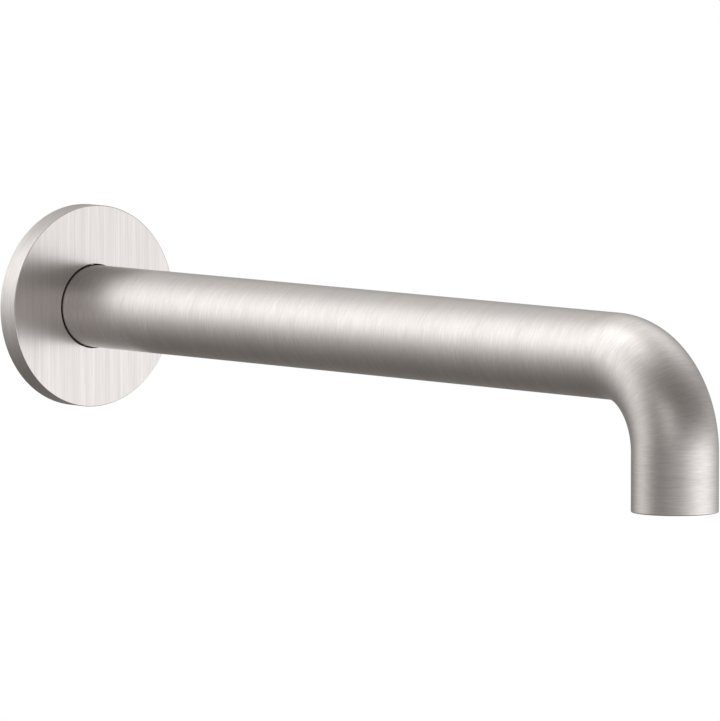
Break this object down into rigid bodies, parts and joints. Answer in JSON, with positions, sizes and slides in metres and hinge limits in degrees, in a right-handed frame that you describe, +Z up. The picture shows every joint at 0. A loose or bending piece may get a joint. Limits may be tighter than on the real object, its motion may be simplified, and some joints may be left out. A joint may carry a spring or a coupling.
{
  "type": "wall mounted bath spout",
  "caption": "Round-tube wall mounted bath spout: a long straight tube with a short down-turned outlet, a round wall flange, a recessed aerator and a slip-fit wall nipple.",
  "frame": {"origin": "centre of the wall flange's back face, on the finished wall and on the tube's axis", "axes": "+Z up; -Y out of the wall along the spout, +Y into the wall along the nipple; +X to the right of someone facing the wall"},
  "size_m": [0.0616, 0.3075, 0.0735],
  "materials": {
    "brushed_nickel": "brushed nickel plate on brass, brushed round the tube",
    "brass": "machined brass",
    "steel": "plain stainless steel",
    "rubber": "matt black nitrile rubber",
    "foam": "closed-cell foam",
    "plastic": "moulded acetal",
    "fibre": "red vulcanised fibre"
  },
  "bodies": {
    "spout": {"connection_nipple": "brass", "nipple_seal_washer": "fibre", "nipple_o_ring_front": "rubber", "nipple_o_ring_rear": "rubber", "spout_tube": "brushed_nickel", "inlet_socket": "brass", "outlet_bush": "brass"},
    "flange_ring": {"flange_o_ring": "rubber"},
    "flange": {"wall_flange": "brushed_nickel", "flange_wall_gasket": "foam"},
    "set_screw": {"set_screw": "steel"},
    "aerator_seal": {"aerator_seal_washer": "rubber"},
    "aerator": {"aerator_shell": "brushed_nickel", "aerator_strainer": "plastic", "aerator_jet_plate": "plastic", "aerator_mixing_ring": "plastic", "aerator_upper_screen": "plastic", "aerator_lower_screen": "plastic"}
  },
  "joints": [
    {"name": "flange_slide", "type": "slide", "parent": "spout", "child": "flange_ring", "axis": [0, -1, 0], "range_m": [0, 0.24]},
    {"name": "flange_turn", "type": "hinge", "parent": "flange_ring", "child": "flange", "pos_m": [0, 0, 0], "axis": [0, -1, 0], "continuous": true},
    {"name": "set_screw_travel", "type": "slide", "parent": "spout", "child": "set_screw", "axis": [0, 0, -1], "range_m": [0, 0.004]},
    {"name": "aerator_drop", "type": "slide", "parent": "spout", "child": "aerator_seal", "axis": [0, 0, -1], "range_m": [0, 0.006]},
    {"name": "aerator_unscrew", "type": "hinge", "parent": "aerator_seal", "child": "aerator", "pos_m": [0, -0.275, -0.0342], "axis": [0, 0, -1], "range_deg": [0, 2160]}
  ],
  "couplings": [
    {"joint": "aerator_drop", "follows": "aerator_unscrew", "m_per_rad": 0.00015915}
  ]
}
